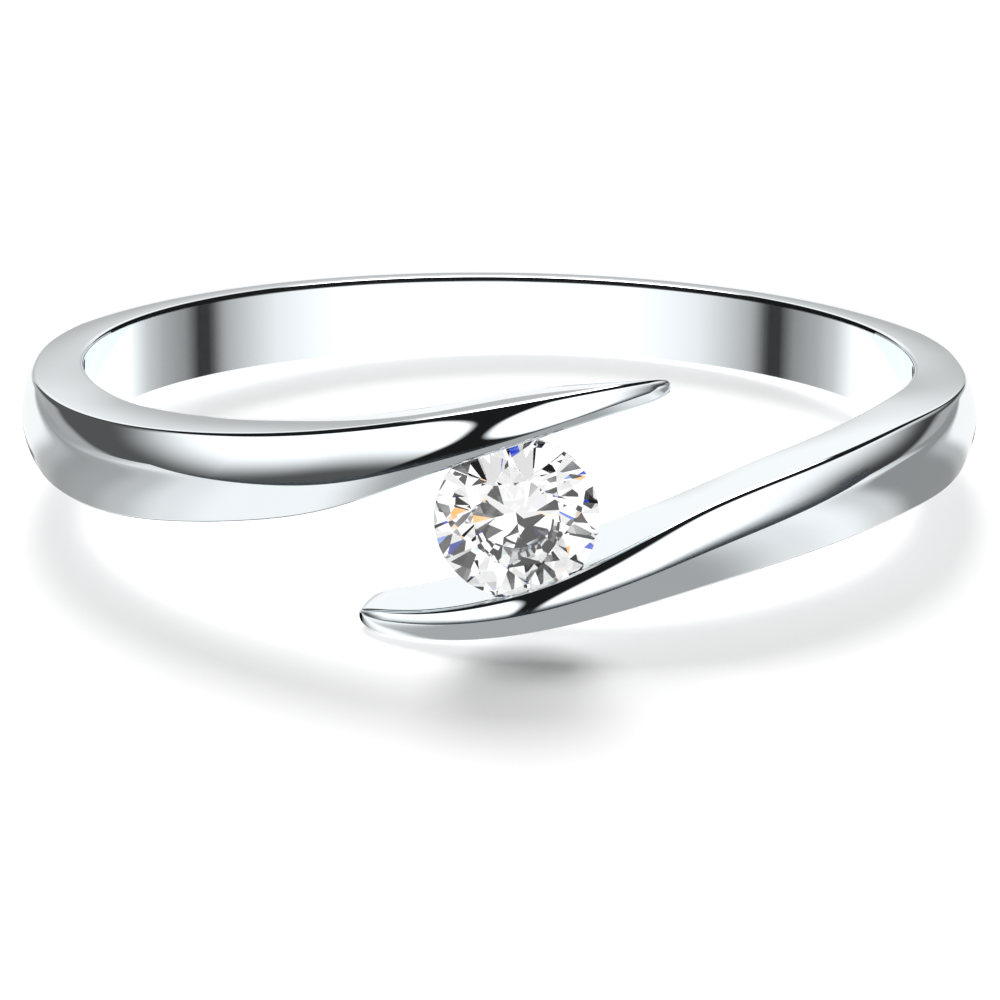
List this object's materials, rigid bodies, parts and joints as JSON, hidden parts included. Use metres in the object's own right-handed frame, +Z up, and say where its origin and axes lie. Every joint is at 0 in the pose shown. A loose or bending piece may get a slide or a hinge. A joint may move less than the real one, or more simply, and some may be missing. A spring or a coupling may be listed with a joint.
{
  "type": "bypass ring with one round stone",
  "caption": "Polished metal bypass ring whose two tapering arms pass each other and hold a round brilliant stone by its girdle.",
  "frame": {"origin": "on the surface that the ring lies on, under the middle of its box", "axes": "+Z up from the surface, the stone at -Y, the finger's axis leant about 4.7 degrees from +Z as the ring lies"},
  "size_m": [0.0198, 0.0204, 0.0047],
  "materials": {
    "white_metal": "silver with a bright rhodium plate, mirror polished",
    "clear_stone": "colourless topaz, polished facets"
  },
  "bodies": {
    "root": {"band": "white_metal", "stone": "clear_stone"}
  },
  "joints": []
}
